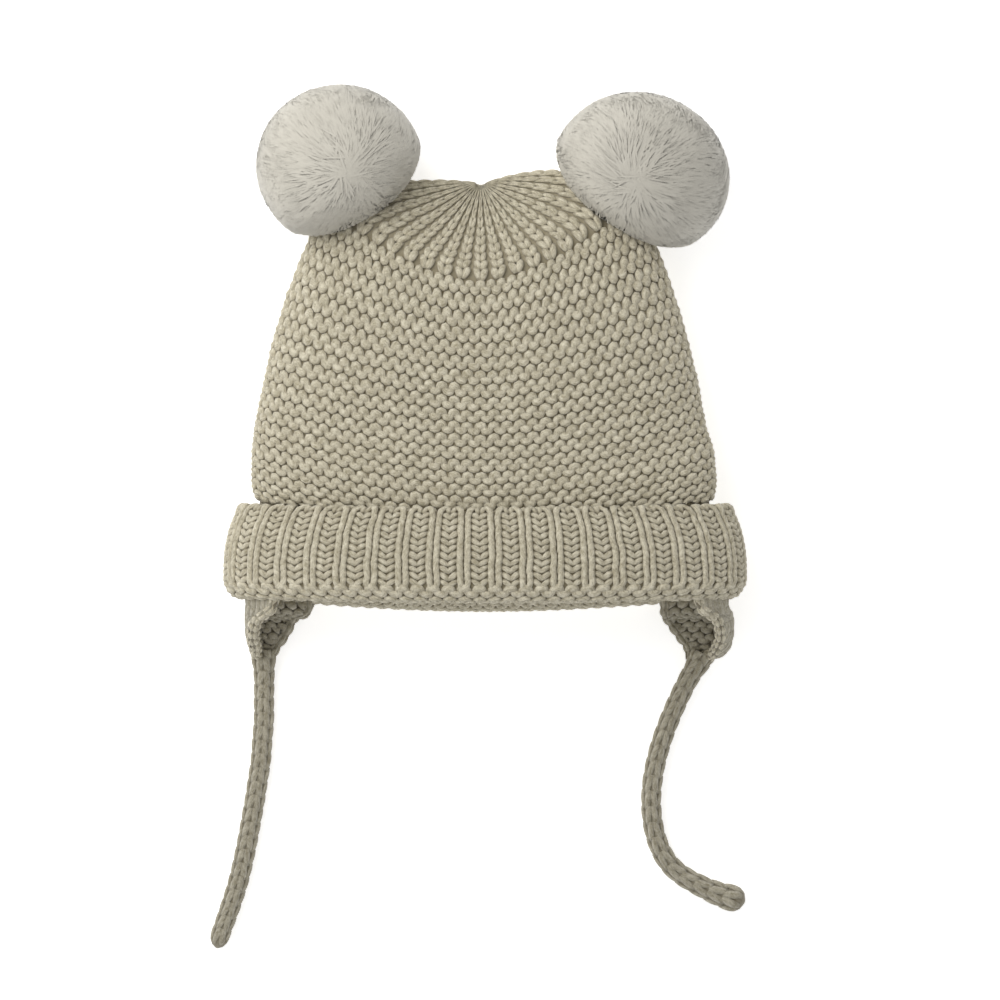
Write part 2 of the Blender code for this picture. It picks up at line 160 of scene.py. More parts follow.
# Counts of points on the surfaces that the stitches are laid on
CROWN_ROWS = 161
RING_COLUMNS = 304
FLAP_POINTS = 13
TIE_POINTS = 120
BORDER_POINTS = 60

# The camera stands straight above, as far off as keeps the hat free of perspective
VIEW_WIDTH = 0.365
CAMERA_HEIGHT = 2.4

# Millimetre sizes of the flat stitch patterns, before they are laid on their surfaces
STITCH_WIDTH = 4.8
RIDGE_HEIGHT = 4.2
RIB_WIDTH = 11.6
RIB_PITCH = 2.45
GATHER_WIDTH = 6.9
GATHER_PITCH = 5.0
GARTER_SINK = 1.15 * MM
STITCH_DEPTH = 2.4


def linear(code):
    """An sRGB hex colour as linear red, green and blue."""
    shares = [int(code[i:i + 2], 16) / 255 for i in (0, 2, 4)]
    return tuple(c / 12.92 if c <= 0.04045 else ((c + 0.055) / 1.055) ** 2.4 for c in shares)


def colour_property(name, description, code):
    return bpy.props.FloatVectorProperty(
        name=name, description=description, subtype="COLOR", size=3, min=0, max=1, default=linear(code)
    )


def length_property(name, description, default, low, high):
    return bpy.props.FloatProperty(
        name=name, description=description, default=default * MM, min=low * MM, max=high * MM,
        subtype="DISTANCE", unit="LENGTH", precision=5,
    )


class YarnSettings(bpy.types.PropertyGroup):
    """The yarn's thickness and colours."""

    radius: length_property("Yarn radius", "Half the thickness of the garter stitches' yarn", 1.38, 0.5, 2)
    unevenness: length_property("Unevenness", "How far a stitch strays from its place", 0.25, 0, 1)
    light: colour_property("Light fibres", "The palest fibres of the heathered yarn", "E4DDC7")
    dark: colour_property("Dark fibres", "The darkest fibres of the heathered yarn", "A39A80")
    # The hollows' colour is painted shade, for yarn deep between the stitches.
    hollow_shade: colour_property("Hollows", "The yarn deep between the stitches", "968D76")


class FurSettings(bpy.types.PropertyGroup):
    """The pompoms' fur."""

    strands: bpy.props.IntProperty(
        name="Strands", description="Tufts of fur on each pompom", default=13500, min=500, max=16000,
    )
    length: length_property("Length", "How far a tuft lies along the ball", 16, 3, 25)
    tip: colour_property("Tips", "The fur at the ball's surface", "CFCBBF")
    # The roots' darker colour is painted shade between the tufts.
    root: colour_property("Roots", "The fur between the tufts", "B8B4A9")


class StageSettings(bpy.types.PropertyGroup):
    """The floor and the light."""

    floor: colour_property("Floor", "The plain pale floor", "FFFFFF")
    light: bpy.props.FloatProperty(
        name="Key light", description="Power of the soft light from the upper left", default=9.0,
        min=0, max=100, subtype="POWER", unit="POWER",
    )


# Surfaces

Surface = namedtuple("Surface", "points normals wraps")


def unit(vectors):
    """The same directions at length 1."""
    return vectors / np.maximum(np.linalg.norm(vectors, axis=-1), 1e-12)[..., None]


def distances(points):
    """How far along an open line each of its points lies."""
    return np.concatenate([[0], np.cumsum(np.linalg.norm(np.diff(points, axis=0), axis=1))])


def length_of(line):
    return np.linalg.norm(np.diff(line, axis=0), axis=1).sum()


def smooth_through(xs, ys, x):
    """A smooth curve through the points (xs, ys), read at x, as in the solids."""
    slopes = np.gradient(ys, xs, axis=0)
    i = int(np.clip(np.searchsorted(xs, x) - 1, 0, len(xs) - 2))
    width = xs[i + 1] - xs[i]
    t = (x - xs[i]) / width
    return (
        (2 * t**3 - 3 * t**2 + 1) * ys[i]
        + (t**3 - 2 * t**2 + t) * width * slopes[i]
        + (3 * t**2 - 2 * t**3) * ys[i + 1]
        + (t**3 - t**2) * width * slopes[i + 1]
    )


def middle():
    """The rise that lies over the origin."""
    return (max(POMPOM_RISE.values()) + POMPOM_DIAMETER / 2 - max(FLAP_LENGTH.values())) / 2


def ring_line(half_width, top, bottom, front, side, back, lean, bow, power):
    """A closed row of the hat as a fine line, from mid front over the right side and back round."""
    turn = np.linspace(0, 2 * math.pi, 720, endpoint=False)
    across, up = np.sin(turn), np.cos(turn)
    over = up >= 0
    under_power = np.interp(power, (TOP_POWER, SIDE_POWER), (TOP_POWER, FLOOR_POWER))
    x_share = np.sign(across) * np.abs(across) ** (2 / np.where(over, power, under_power))
    z = (top + bottom) / 2 + up * (top - bottom) / 2
    start = np.where(over, front, back)
    y = start + (side - start) * np.abs(x_share) ** bow + lean * x_share / 2 - middle()
    return np.stack([x_share * half_width, y, z], axis=1)


def even_points(line, columns):
    """columns points spread evenly along a closed line, starting at its first point."""
    closed = np.vstack([line, line[:1]])
    along = distances(closed)
    at = np.linspace(0, along[-1], columns, endpoint=False)
    return np.stack([np.interp(at, along, closed[:, k]) for k in range(3)], axis=1)


def even_along(points, count):
    """count points evenly spread along an open line."""
    along = distances(points)
    at = np.linspace(0, along[-1], count)
    return np.stack([np.interp(at, along, points[:, k]) for k in range(points.shape[1])], axis=1)


def through_points(points, count):
    """count points along a smooth curve through these points, evenly spread in its length."""
    points = np.array(points, float)
    along = distances(points)
    curve = np.array([smooth_through(along, points, s) for s in np.linspace(0, along[-1], 200)])
    return even_along(curve, count)


def crown_line(rows):
    """The crown's outer face at a level."""
    half_width, side, front, top, bottom, lean, bow = smooth_through(
        CROWN_LEVELS[:, 0], CROWN_LEVELS[:, 1:], rows
    )
    power = np.interp(rows, (1.0, 2.0), (SIDE_POWER, TOP_POWER))
    front, side = front * HAT_HEIGHT, side * HAT_HEIGHT
    if rows == 0:
        front, side = SEAM_RISE, SEAM_RISE + SIDE_LIFT
    line = ring_line(
        half_width * CROWN_WIDTH / 2, top * CROWN_THICKNESS, bottom * CROWN_THICKNESS,
        front, side, front - BACK_DROP * max(0, 1 - rows), lean * HAT_HEIGHT, bow, power,
    )
    line[:, 0] += CROWN_SWAY * min(1, 4 * rows)
    return line


def cuff_line(reach, rise):
    """A row of the cuff, reach measured outwards from the inner ply's outer face."""
    half_width, _, _, top, bottom, _, bow = CROWN_LEVELS[0, 1:]
    raised = rise * CUFF_HEIGHT
    swell = max(reach, 0) * CUFF_SWELL
    line = ring_line(
        half_width * CROWN_WIDTH / 2 + swell, top * CROWN_THICKNESS + swell * CUFF_LIFT_SHARE,
        bottom * CROWN_THICKNESS - swell, raised, raised + SIDE_LIFT, raised - BACK_DROP, 0.0, bow,
        SIDE_POWER,
    )
    round_it = np.roll(line, -1, axis=0) - np.roll(line, 1, axis=0)
    return line - max(-reach, 0) * CUFF_SWELL * unit(np.cross(round_it, (0, 1, 0)))


def surface(rows, wraps):
    """A surface through rows of points, pressed on the floor, with its normals."""
    points = np.array(rows)
    points[:, :, 2] = np.maximum(points[:, :, 2], 0)
    along = np.gradient(points, axis=0)
    if wraps:
        across = np.roll(points, -1, axis=1) - np.roll(points, 1, axis=1)
    else:
        across = np.gradient(points, axis=1)
    return Surface(points, unit(np.cross(across, along)), wraps)


def place(face, u, v, h):
    """Points at u across the surface and v along it, both as shares, and h above it."""
    u, v, h = np.broadcast_arrays(u, v, h)
    rows, columns = face.points.shape[:2]
    x = u % 1 * columns if face.wraps else np.clip(u, 0, 1) * (columns - 1)
    y = np.clip(v, 0, 1) * (rows - 1)
    i = np.minimum(y.astype(int), rows - 2)
    j = np.minimum(x.astype(int), columns - 1 if face.wraps else columns - 2)
    k = (j + 1) % columns
    s, t = (y - i)[:, None], (x - j)[:, None]

    def blend(grid):
        low = (1 - t) * grid[i, j] + t * grid[i, k]
        high = (1 - t) * grid[i + 1, j] + t * grid[i + 1, k]
        return (1 - s) * low + s * high

    spot = blend(face.points) + h[:, None] * unit(blend(face.normals))
    spot[:, 2] = np.maximum(spot[:, 2], 0)
    return spot


def crown_surface():
    levels = np.linspace(0, 2, CROWN_ROWS)
    return surface([even_points(crown_line(rows), RING_COLUMNS) for rows in levels], True)


def cuff_section():
    """The cuff's section as evenly spaced points, and the length along it in metres."""
    sizes = np.array((CUFF_SWELL, CUFF_HEIGHT))
    dense = through_points(CUFF_SECTION * sizes, 90)
    return dense / sizes, distances(dense)


def cuff_surface():
    points, _ = cuff_section()
    return surface([even_points(cuff_line(*point), RING_COLUMNS) for point in points], True)


def flap_surface(side):
    """The middle of a flap's wall, from its root under the cuff's fold to its tip."""
    half_width = np.abs(cuff_line(0.30, 0)[:, 0]).max()
    ring = even_points(cuff_line(0.30, -0.024), 38)
    ring[:, 2] = np.maximum(ring[:, 2], 0)
    half = even_along(ring[side * np.arange(20)], 720)
    share = np.abs(half[:, 0]) / np.abs(half[:, 0]).max()
    before = np.arange(720) <= np.argmax(share)
    kept = half[np.where(before, share >= FLAP_FRONT_SHARE, share >= FLAP_BACK_SHARE)]
    root = even_along(kept, FLAP_POINTS)
    root[:, 1] -= 2 * GAP
    root[:, 0] *= FLAP_ROOT_REACH[side]
    lying = FLAP_WALL / 2 + GAP
    rows = [root + (0, 6 * MM, 0), root - (0, 4 * GAP, 0)]
    for section in FLAP_SECTIONS[side]:
        down, crest, beside = section[0], section[4], section[5]
        outer, front, back = (side * half_width * share for share in section[1:4])
        y = -down * FLAP_LENGTH[side] - middle()
        rows.append(through_points([
            (front, y, max(crest * CROWN_THICKNESS, lying)),
            (outer, y, max(beside * CROWN_THICKNESS, lying)),
            (outer - side * 0.35 * abs(outer - back), y, lying * 1.2),
            (back, y, lying),
        ], FLAP_POINTS))
    tip = flap_tip(side)
    spread = np.linspace(1, -1, FLAP_POINTS) * FLAP_TIP_WIDTH / 2
    rows.append(np.array([(tip[0] + side * s, tip[1] + 4 * GAP, tip[2]) for s in spread]))
    columns = [through_points([row[i] for row in rows], 24) for i in range(FLAP_POINTS)]
    fine = [through_points(row, 25) for row in np.stack(columns, axis=1)]
    return surface(fine, False)


def flap_inside(face):
    """The flap's inner face, which slopes evenly from the cuff's back rim to the flap's tip."""
    points = face.points.copy()
    steps = np.linalg.norm(np.diff(points, axis=0), axis=2).mean(axis=1)
    down = np.concatenate([[0], np.cumsum(steps)]) - 7 * MM
    root = points[int(np.argmax(down > 0)) - 1, :, 2]
    low = 2.6 * MM
    slope = (1 - np.clip(down / (down[-1] - 2 * MM), 0, 1)[:, None]) ** 1.2 * (root - low) + low
    across = np.linspace(0, 1, points.shape[1])
    share = np.interp(across, (0.45, 0.6, 0.75, 1.0), (0.0, 1.0, 1.0, 0.6))
    points[:, :, 2] += np.maximum(0, slope - points[:, :, 2]) * share
    return surface(points, False)


def flap_tip(side):
    """The middle of a flap's tip, where its tie begins."""
    half_width = np.abs(cuff_line(0.30, 0)[:, 0]).max()
    return np.array((
        side * FLAP_TIP_SHARE[side] * half_width, -FLAP_LENGTH[side] - middle(), TIE_DIAMETER / 2 + GAP,
    ))


def tie_line(side, count):
    """The tie's route, in metres."""
    tip = flap_tip(side)
    points = [(tip[0] + x * MM, tip[1] + y * MM, tip[2]) for x, y in TIE_ROUTE[side]]
    places = through_points(points, count)
    first = through_points(points, 13)
    step = first[1] - first[0]
    places[:, 1] -= 2 * GAP + abs(step[0]) / np.linalg.norm(step) * TIE_DIAMETER / 2
    return places


def cord_surface(line, radii, columns=24):
    """A round cord's surface along a line, u counted from its upper side."""
    tangent = unit(np.gradient(line, axis=0))
    across = unit(np.cross(tangent, (0, 0, 1)))
    up = np.cross(across, tangent)
    turn = np.linspace(0, 2 * math.pi, columns, endpoint=False)[None, :, None]
    out = np.cos(turn) * up[:, None] + np.sin(turn) * across[:, None]
    points = line[:, None] + np.asarray(radii)[:, None, None] * out
    return Surface(points, out, True)


def uneven(x, y, period, seed):
    """Smooth seeded unevenness between -1 and 1, which repeats after period in x."""
    grid = np.random.default_rng(seed).uniform(-1, 1, (period, 64))
    i, j = np.floor(x).astype(int), np.floor(y).astype(int)
    s, t = x - i, y - j
    s, t = s * s * (3 - 2 * s), t * t * (3 - 2 * t)
    a, b = i % period, (i + 1) % period
    c, d = j % 64, (j + 1) % 64
    near = (1 - t) * grid[a, c] + t * grid[a, d]
    far = (1 - t) * grid[b, c] + t * grid[b, d]
    return (1 - s) * near + s * far


# Yarn

def strand(bm, path, radii, repeats=False, sides=YARN_SIDES):
    """A strand of yarn swept along a path in millimetres, with its UV map along and round it.

    radii holds the half width and half thickness at each point. A strand that repeats is left open,
    so that copies join end to end, and any other is closed.
    """
    uv = bm.loops.layers.uv.verify()
    path = [Vector(p) * MM for p in path]
    step = path[-1] - path[0]
    before = [path[-2] - step if repeats else path[0], *path[:-1]]
    after = [*path[1:], path[1] + step if repeats else path[-1]]
    places = []
    for point, low, high, (wide, thick) in zip(path, before, after, radii):
        tangent = (high - low).normalized()
        up = (Vector((0, 0, 1)) - tangent * tangent.z).normalized()
        axes = Matrix((up.cross(tangent) * wide * MM, up * thick * MM, tangent * MM)).transposed()
        places.append(Matrix.Translation(point) @ axes.to_4x4())
    known = len(bm.faces)
    ring = bmesh.ops.create_circle(bm, segments=sides, radius=1, matrix=places[0])["verts"]
    edges = list(dict.fromkeys(edge for vert in ring for edge in vert.link_edges))
    ends = [edges]
    spot = {vert: (0.0, i) for i, vert in enumerate(ring)}
    length = 0.0
    for i in range(1, len(path)):
        grown = bmesh.ops.extrude_edge_only(bm, edges=edges)["geom"]
        edges = [g for g in grown if isinstance(g, bmesh.types.BMEdge)]
        fresh = [g for g in grown if isinstance(g, bmesh.types.BMVert)]
        length += (path[i] - path[i - 1]).length
        to_local = places[i - 1].inverted()
        for vert in fresh:
            local = to_local @ vert.co
            nearest = min(ring, key=lambda old: (old.co - vert.co).length_squared)
            spot[vert] = (length, spot[nearest][1])
        bmesh.ops.transform(bm, matrix=places[i] @ to_local, verts=fresh)
        ring = fresh
        edges = [e for e in edges if e.verts[0] in spot and e.verts[1] in spot
                 and e.verts[0] in fresh and e.verts[1] in fresh]
    ends.append(edges)
    for face in list(bm.faces)[known:]:
        around = [spot[loop.vert][1] for loop in face.loops]
        wrapped = max(around) - min(around) > 1
        for loop, turn in zip(face.loops, around):
            turn = sides if wrapped and turn == 0 else turn
            loop[uv].uv = (spot[loop.vert][0] / MM / 10, turn / sides)
    if not repeats:
        for edges in ends:
            bmesh.ops.holes_fill(bm, edges=edges, sides=sides)


def as_mesh(bm, name):
    mesh = bpy.data.meshes.new(name)
    bm.to_mesh(mesh)
    bm.free()
    return mesh


def repeated(bm, across, along, joined=True):
    """The bmesh as a mesh, repeated: across and along are each a count and a step in millimetres."""
    mesh = as_mesh(bm, "stitch")
    obj = bpy.data.objects.new("stitch", mesh)
    bpy.context.scene.collection.objects.link(obj)
    for (count, step), axis in ((across, Vector((1, 0, 0))), (along, Vector((0, 1, 0)))):
        array = obj.modifiers.new("repeat", "ARRAY")
        array.count = count
        array.use_relative_offset = False
        array.use_constant_offset = True
        array.constant_offset_displace = axis * step * MM
        array.use_merge_vertices = joined and axis.x == 1
        array.merge_threshold = 0.01 * MM
    made = bpy.data.meshes.new_from_object(obj.evaluated_get(bpy.context.evaluated_depsgraph_get()))
    bpy.data.objects.remove(obj)
    bpy.data.meshes.remove(mesh)
    return made


def corners(mesh):
    """The mesh's vertex places as an array."""
    places = np.zeros(len(mesh.vertices) * 3)
    mesh.vertices.foreach_get("co", places)
    return places.reshape(-1, 3)


def keep(mesh, name, values):
    """Keeps a number from 0 to 1 for each vertex, or one for all, which its material reads.

    nearness says how near a vertex is to the outside: where it is low, the material paints shade in the
    hollows' colour.
    """
    attribute = mesh.attributes.new(name, "FLOAT", "POINT")
    values = np.clip(values, 0, 1) * np.ones(len(mesh.vertices))
    attribute.data.foreach_set("value", values.astype(np.float32))


def laid(mesh, placing, thickness, nearest=1.0):
    """Lays a flat pattern on its surface. placing turns its places into points, and may drop some."""
    flat = corners(mesh)
    top = flat[:, 2].max()
    # Painted shade: nearness falls with depth below the pattern's top, and the material darkens the yarn by
    # it.
    keep(mesh, "nearness", nearest * (1 + (flat[:, 2] - top) / (thickness * MM)))
    points, stays = placing(*flat.T)
    mesh.vertices.foreach_set("co", points.ravel())
    bm = bmesh.new()
    bm.from_mesh(mesh)
    bm.verts.ensure_lookup_table()
    if stays is not None:
        lost = [bm.verts[i] for i in np.flatnonzero(~stays)]
        bmesh.ops.delete(bm, geom=lost, context="VERTS")
    bmesh.ops.remove_doubles(bm, verts=bm.verts, dist=0.004 * MM)
    open_edges = [edge for edge in bm.edges if edge.is_boundary]
    if open_edges:
        bmesh.ops.holes_fill(bm, edges=open_edges, sides=12)
    bmesh.ops.recalc_face_normals(bm, faces=bm.faces)
    bm.to_mesh(mesh)
    bm.free()
    return mesh


def piece(name, mesh, material, slot, *nodes):
    """The mesh as a finished piece of the hat."""
    mesh.name = name
    mesh.materials.clear()
    mesh.materials.append(material)
    mesh.shade_smooth()
    obj = bpy.data.objects.new(name, mesh)
    bpy.context.scene.collection.objects.link(obj)
    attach(obj, "root")
    if nodes:
        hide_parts(*nodes)
    return obj


def joined(name, *meshes):
    """Several meshes as one, with their UV maps and attributes."""
    bm = bmesh.new()
    for mesh in meshes:
        bm.from_mesh(mesh)
        bpy.data.meshes.remove(mesh)
    return as_mesh(bm, name)


def garter_stitches(radius, count, ridges):
    """Garter ridges of wavy stitches, each a bump over and a bump under that bulge to each other."""
    bm = bmesh.new()
    path = []
    for i in range(11):
        t = i / 10
        x = STITCH_WIDTH * (t - 0.015 * math.sin(2 * math.pi * t) + 0.095 * math.sin(4 * math.pi * t))
        y = 1.12 * math.cos(2 * math.pi * t)
        z = 0.25 * math.cos(4 * math.pi * t)
        path.append((x, y, z))
    strand(bm, path, [(radius / MM, 0.78 * radius / MM)] * 11, repeats=True)
    return repeated(bm, (count, STITCH_WIDTH), (ridges, RIDGE_HEIGHT))


def knit_leg(bm, start, end, bulge, wide, thick, slim=0.35):
    """One plump leg of a knit stitch, whose ends are thinner by the share slim."""
    start, end = Vector(start), Vector(end)
    path, radii = [], []
    for i in range(6):
        t = i / 5
        point = start.lerp(end, t)
        point.z += bulge * math.sin(math.pi * t)
        path.append(point)
        swell = slim + (1 - slim) * math.sin(math.pi * t) ** 0.7
        radii.append((wide * swell, thick * swell))
    strand(bm, path, radii)


def knit_stitches(
    width, pitch, rows, count, wide, thick, high_reach, low_reach, slim=0.35, bulge=0.6, sink=0.75
):
    """Columns of knit stitches: plump V shapes that point down the column."""
    bm = bmesh.new()
    for side in (-1, 1):
        start = (side * high_reach, 0.7 * pitch, -sink)
        end = (side * low_reach, -0.52 * pitch, -sink / 2)
        knit_leg(bm, start, end, bulge, wide, thick, slim)
    return repeated(bm, (count, width), (rows, pitch), joined=False)


def ring_edges(bm, points):
    verts = [bm.verts.new(p) for p in points]
    return [bm.edges.new((a, b)) for a, b in zip(verts, verts[1:] + verts[:1])]


def cap(bm, ring):
    """A fan of faces over a ring, to a point at its middle."""
    made = bmesh.ops.edgeloop_fill(bm, edges=ring)["faces"]
    bmesh.ops.poke(bm, faces=made, center_mode="MEAN")


def shell(rings, caps=(), closed=False):
    """Rings of points bridged into one wall. caps names the rings that are filled."""
    bm = bmesh.new()
    edges = [ring_edges(bm, ring) for ring in rings]
    for index in caps:
        cap(bm, edges[index])
    pairs = list(zip(edges, edges[1:])) + ([(edges[-1], edges[0])] if closed else [])
    for i, (low, high) in enumerate(pairs):
        if i not in caps[:-1] or closed:
            bmesh.ops.bridge_loops(bm, edges=low + high)
    bmesh.ops.recalc_face_normals(bm, faces=bm.faces)
    return as_mesh(bm, "shell")


def cord_middle(line, radii, columns, nearness):
    """The plain closed cord under a cord's stitches, with painted shade set by nearness."""
    mesh = shell(list(cord_surface(line, radii, columns).points), caps=(0, -1))
    keep(mesh, "nearness", nearness)
    return mesh


# Materials

def add(tree, kind, settings=None, **links):
    """Adds a node. settings are its own properties, its inputs' values or the stops of its colours,
    links its inputs."""
    made = tree.nodes.new(kind)
    for name, value in (settings or {}).items():
        if name == "stops":
            elements = made.color_ramp.elements
            while len(elements) < len(value):
                elements.new(0.5)
            for element, (at, colour) in zip(elements, value):
                element.position, element.color = at, (*colour, 1.0)
        elif isinstance(name, str) and hasattr(made, name):
            setattr(made, name, value)
        else:
            made.inputs[name].default_value = value
    for name, source in links.items():
        key = name.replace("_", " ")
        key = int(key[2:]) if key.startswith("in") and key[2:].isdigit() else key
        tree.links.new(source, made.inputs[key])
    return made


def blank(name, settings):
    """A new material with only its shader, at these settings, and its output."""
    material = bpy.data.materials.new(name)
    material.use_nodes = True
    tree = material.node_tree
    tree.nodes.clear()
    shader = add(tree, "ShaderNodeBsdfPrincipled", settings)
    add(tree, "ShaderNodeOutputMaterial", Surface=shader.outputs["BSDF"])
    return material, tree, shader


def heathered_yarn(name, settings, shade=1.0):
    """Spun cotton and acrylic yarn, loosely plied and hand knitted: matt, with pale and dark fibres
    lying along it and a faint halo of loose ones. Where nearness is low it takes painted shade in the
    hollows' colour, and a shade below 1 darkens all its colours as painted shade."""
    material, tree, shader = blank(name, {
        "Roughness": 0.92, "Specular IOR Level": 0.25, "Sheen Weight": 0.25, "Sheen Roughness": 0.6,
    })
    uv = add(tree, "ShaderNodeUVMap").outputs["UV"]
    where = add(tree, "ShaderNodeTexCoord").outputs["Object"]
    drift = add(tree, "ShaderNodeTexNoise", {"Scale": 130.0, "Detail": 1.0}, Vector=where)
    # The UV map runs 0.1 for each millimetre along the yarn: fibres about 3 mm long, 0.25 mm apart
    stretched = add(tree, "ShaderNodeVectorMath", {"operation": "MULTIPLY", 1: (3.2, 9.0, 1.0)}, in0=uv)
    strayed = add(tree, "ShaderNodeVectorMath", {"operation": "SCALE", "Scale": 6.0},
                  Vector=drift.outputs["Color"])
    along = add(tree, "ShaderNodeVectorMath", {"operation": "ADD"},
                in0=stretched.outputs[0], in1=strayed.outputs[0])
    fibres = add(tree, "ShaderNodeTexNoise", {"Scale": 1.6, "Detail": 4.0, "Roughness": 0.65},
                 Vector=along.outputs[0])
    # Heather: flecks of paler and darker fleece, about 2.5 mm across and finer
    patches = add(tree, "ShaderNodeTexNoise", {"Scale": 400.0, "Detail": 4.0, "Roughness": 0.75},
                  Vector=where)
    mixed = add(tree, "ShaderNodeMix", {"data_type": "FLOAT", "Factor": 0.45},
                in2=fibres.outputs["Fac"], in3=patches.outputs["Fac"])
    light, dark, hollow_shade = (
        tuple(c * shade for c in colour) for colour in (settings.light, settings.dark, settings.hollow_shade)
    )
    fleece = add(tree, "ShaderNodeValToRGB", {"stops": ((0.38, dark), (0.61, light))},
                 Fac=mixed.outputs[0])
    # Painted shade: where nearness is low, deep between the stitches, the yarn turns to the hollows' colour.
    near = add(tree, "ShaderNodeAttribute", {"attribute_name": "nearness"})
    shaded = add(tree, "ShaderNodeMapRange",
                 {"interpolation_type": "SMOOTHSTEP", "From Min": 0.12, "From Max": 0.85},
                 Value=near.outputs["Fac"])
    colour = add(tree, "ShaderNodeMix", {"data_type": "RGBA", 6: (*hollow_shade, 1.0)},
                 in0=shaded.outputs[0], in7=fleece.outputs["Color"])
    tree.links.new(colour.outputs[2], shader.inputs["Base Color"])
    bump = add(tree, "ShaderNodeBump", {"Strength": 0.9, "Distance": 0.35 * MM},
               Height=fibres.outputs["Fac"])
    tree.links.new(bump.outputs[0], shader.inputs["Normal"])
    return material


def faux_fur(name, settings):
    """Dense acrylic faux fur: silky tufts, darker where one lies in the shade of the next."""
    material, tree, shader = blank(name, {
        "Roughness": 0.6, "Specular IOR Level": 0.3, "Sheen Weight": 0.3, "Sheen Roughness": 0.4,
    })
    tip = add(tree, "ShaderNodeAttribute", {"attribute_name": "nearness"})
    tone = add(tree, "ShaderNodeAttribute", {"attribute_name": "tone"})
    spread = add(tree, "ShaderNodeMath", {"operation": "MULTIPLY_ADD", 1: 0.7, 2: -0.35},
                 in0=tone.outputs["Fac"])
    lit = add(tree, "ShaderNodeMath", {"operation": "ADD", "use_clamp": True},
              in0=tip.outputs["Fac"], in1=spread.outputs[0])
    between = tuple(0.45 * a + 0.55 * b for a, b in zip(settings.root, settings.tip))
    stops = (0.0, settings.root), (0.45, between), (1.0, settings.tip)
    colour = add(tree, "ShaderNodeValToRGB", {"stops": stops}, Fac=lit.outputs[0])
    tree.links.new(colour.outputs["Color"], shader.inputs["Base Color"])
    return material


def matt_paper(name, colour):
    """Seamless studio paper: matt, with a faint tooth, and so brightly lit that it reads as white."""
    material, tree, shader = blank(name, {
        "Base Color": (*colour, 1.0), "Roughness": 0.95, "Specular IOR Level": 0.1,
        "Emission Color": (*colour, 1.0), "Emission Strength": 0.55,
    })
    where = add(tree, "ShaderNodeTexCoord").outputs["Object"]
    tooth = add(tree, "ShaderNodeTexNoise", {"Scale": 900.0, "Detail": 2.0}, Vector=where)
    bump = add(tree, "ShaderNodeBump", {"Strength": 0.02, "Distance": 0.05 * MM},
               Height=tooth.outputs["Fac"])
    tree.links.new(bump.outputs[0], shader.inputs["Normal"])
    return material


def shared(name, make, *args):
    """The material of this name, made once."""
    return bpy.data.materials.get(name) or make(name, *args)


def yarn_material():
    return shared("oatmeal cotton yarn, hand knitted", heathered_yarn, bpy.context.scene.hat_yarn)


def shaded_yarn_material():
    """The same yarn with all its colours darkened to 0.67, as painted shade."""
    return shared(
        "oatmeal cotton yarn, tightly knitted", heathered_yarn, bpy.context.scene.hat_yarn, 0.67
    )


# Operators

class HAT_OT_stage(bpy.types.Operator):
    """Adds the floor, the soft light and the camera straight above"""

    bl_idname = "hat.stage"
    bl_label = "Stage"

    def execute(self, context):
        settings = context.scene.hat_stage
        bm = bmesh.new()
        bmesh.ops.create_grid(bm, x_segments=1, y_segments=1, size=4.0)
        mesh = as_mesh(bm, "floor")
        mesh.transform(Matrix.Translation((0, 0, -0.0006)))
        floor = bpy.data.objects.new("floor", mesh)
        mesh.materials.append(matt_paper("white studio paper", settings.floor))
        context.scene.collection.objects.link(floor)
        camera = bpy.data.cameras.new("camera")
        camera.sensor_width = 36
        camera.lens = camera.sensor_width * CAMERA_HEIGHT / VIEW_WIDTH
        camera.clip_start = 0.05
        view = bpy.data.objects.new("camera", camera)
        view.location = (5.5 * MM, -45.5 * MM, CAMERA_HEIGHT + 26 * MM)
        context.scene.collection.objects.link(view)
        context.scene.camera = view
        for name, spot, size, share, tint in (
            ("key", (-0.34, 0.34, 0.60), 0.55, 0.365, (1.0, 0.985, 0.96)),
            ("front", (-0.5, -0.7, 0.9), 1.0, 0.15, (1.0, 0.99, 0.97)),
        ):
            lamp = bpy.data.lights.new(name, "AREA")
            lamp.energy = settings.light * share
            lamp.size = size
            lamp.color = tint
            obj = bpy.data.objects.new(name, lamp)
            obj.location = spot
            obj.rotation_euler = (-Vector(spot)).to_track_quat("-Z", "Y").to_euler()
            context.scene.collection.objects.link(obj)
        world = bpy.data.worlds.new("studio")
        world.use_nodes = True
        sky = world.node_tree.nodes["Background"]
        sky.inputs["Color"].default_value = (0.98, 0.985, 1.0, 1.0)
        sky.inputs["Strength"].default_value = 0.48
        context.scene.world = world
        context.scene.view_settings.view_transform = "Standard"
        return {"FINISHED"}


